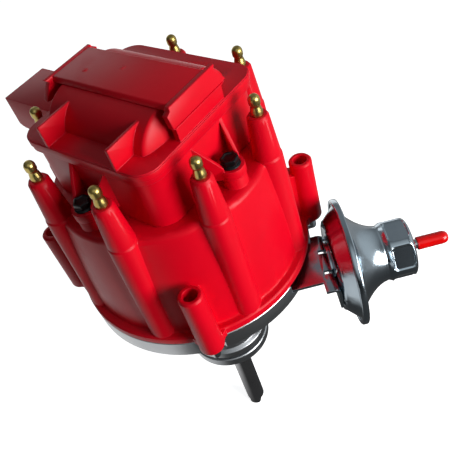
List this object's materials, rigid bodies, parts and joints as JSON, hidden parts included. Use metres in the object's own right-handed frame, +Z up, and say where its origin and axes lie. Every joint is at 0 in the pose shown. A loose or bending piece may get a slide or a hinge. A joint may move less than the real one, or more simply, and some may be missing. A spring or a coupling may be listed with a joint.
{
  "type": "ignition distributor",
  "caption": "Engine ignition distributor with the coil in its cap, spark-plug towers, a cast bowl on a drive shaft, a vacuum advance canister and screw-down latches.",
  "frame": {"origin": "on the shaft axis, at the face of the clamp flange that seats on the engine block", "axes": "+Z up the shaft towards the cap, +X along the coil cover's ridge away from the connector hood, +Y to the left seen along +X"},
  "size_m": [0.208, 0.1393, 0.2957],
  "materials": {
    "cast_aluminium": "cast, with a machined band",
    "red_moulding": "moulded polyester, satin gloss",
    "red_vinyl": "soft vinyl, glossy",
    "black_oxide": "black oxide steel",
    "zinc_plate": "bluish zinc plate",
    "brass": "plain brass",
    "polished_steel": "ground and polished",
    "plain_steel": "pressed or sintered steel",
    "spring_steel": "drawn wire",
    "bronze": "sintered bronze",
    "black_rubber": "oil-proof rubber",
    "black_plastic": "moulded thermoset",
    "carbon": "pressed carbon",
    "ferrite": "ring magnet",
    "laminated_iron": "stacked laminations",
    "copper_winding": "wound enamelled wire"
  },
  "bodies": {
    "body_and_cap": {"arc_seal": "black_rubber", "battery_blade": "brass", "bracket_screws": "zinc_plate", "button_spring": "spring_steel", "canister_cover": "zinc_plate", "canister_cup": "zinc_plate", "capacitor": "plain_steel", "coil_core": "laminated_iron", "coil_cover": "red_moulding", "coil_screws": "plain_steel", "coil_winding": "copper_winding", "cover_screws": "black_oxide", "diaphragm": "black_rubber", "diaphragm_spring": "spring_steel", "distributor_cap": "red_moulding", "housing": "cast_aluminium", "ignition_module": "black_plastic", "latch_springs": "spring_steel", "lower_bushing": "bronze", "module_screws": "plain_steel", "nipple_cap": "red_vinyl", "o_ring": "black_rubber", "pickup_retainer": "plain_steel", "tach_blade": "brass", "terminal_1": "brass", "terminal_2": "brass", "terminal_3": "brass", "terminal_4": "brass", "terminal_5": "brass", "terminal_6": "brass", "terminal_7": "brass", "terminal_8": "brass", "upper_bushing": "bronze", "vacuum_bracket": "zinc_plate", "vacuum_nipple": "polished_steel"},
    "drive_shaft": {"main_shaft": "polished_steel", "thrust_washers": "bronze", "retaining_pin": "plain_steel"},
    "advance": {"timer_core": "plain_steel", "rotor": "black_plastic", "rotor_blade": "brass", "rotor_contact": "brass", "rotor_screws": "plain_steel", "advance_springs": "spring_steel"},
    "first_weight": {"weight_1": "plain_steel"},
    "second_weight": {"weight_2": "plain_steel"},
    "pickup": {"pickup_plate": "plain_steel", "magnet": "ferrite", "pickup_coil": "copper_winding", "pole_piece": "plain_steel"},
    "vacuum_link": {"vacuum_rod": "plain_steel", "diaphragm_plate": "plain_steel"},
    "button": {"carbon_button": "carbon"},
    "hold_down_1": {"latch_1": "polished_steel"},
    "hold_down_2": {"latch_2": "polished_steel"},
    "hold_down_3": {"latch_3": "polished_steel"},
    "hold_down_4": {"latch_4": "polished_steel"}
  },
  "joints": [
    {"name": "shaft_spin", "type": "hinge", "parent": "body_and_cap", "child": "drive_shaft", "pos_m": [0, 0, 0], "axis": [0, 0, -1], "continuous": true},
    {"name": "centrifugal_advance", "type": "hinge", "parent": "drive_shaft", "child": "advance", "pos_m": [0, 0, 0.09], "axis": [0, 0, -1], "range_deg": [0, 11], "stiffness_Nm_per_rad": 0.6, "deforming": ["advance_springs"]},
    {"name": "first_weight_swing", "type": "hinge", "parent": "advance", "child": "first_weight", "pos_m": [0.024, 0, 0.096], "axis": [0, 0, -1], "range_deg": [0, 16.5]},
    {"name": "second_weight_swing", "type": "hinge", "parent": "advance", "child": "second_weight", "pos_m": [-0.024, 0, 0.096], "axis": [0, 0, -1], "range_deg": [0, 16.5]},
    {"name": "vacuum_advance", "type": "hinge", "parent": "body_and_cap", "child": "pickup", "pos_m": [0, 0, 0.077], "axis": [0, 0, 1], "range_deg": [0, 10], "stiffness_Nm_per_rad": 0.9},
    {"name": "vacuum_rod_slide", "type": "slide", "parent": "body_and_cap", "child": "vacuum_link", "axis": [0.7266, 0.6871, 0], "range_m": [0, 0.00465], "deforming": ["diaphragm", "diaphragm_spring"]},
    {"name": "button_slide", "type": "slide", "parent": "body_and_cap", "child": "button", "axis": [0, 0, 1], "range_m": [0, 0.0015], "stiffness_N_per_m": 200, "springref_m": -0.002, "deforming": ["button_spring"]},
    {"name": "hold_down_1_turn", "type": "hinge", "parent": "body_and_cap", "child": "hold_down_1", "pos_m": [-0.04773, -0.04773, 0.09], "axis": [0, 0, -1], "range_deg": [0, 90]},
    {"name": "hold_down_2_turn", "type": "hinge", "parent": "body_and_cap", "child": "hold_down_2", "pos_m": [0.04773, -0.04773, 0.09], "axis": [0, 0, -1], "range_deg": [0, 90]},
    {"name": "hold_down_3_turn", "type": "hinge", "parent": "body_and_cap", "child": "hold_down_3", "pos_m": [0.04773, 0.04773, 0.09], "axis": [0, 0, -1], "range_deg": [0, 90]},
    {"name": "hold_down_4_turn", "type": "hinge", "parent": "body_and_cap", "child": "hold_down_4", "pos_m": [-0.04773, 0.04773, 0.09], "axis": [0, 0, -1], "range_deg": [0, 90]}
  ],
  "couplings": [
    {"joint": "first_weight_swing", "follows": "centrifugal_advance", "ratio": 1.5},
    {"joint": "second_weight_swing", "follows": "centrifugal_advance", "ratio": 1.5},
    {"joint": "vacuum_rod_slide", "follows": "vacuum_advance", "m_per_rad": 0.0266}
  ]
}
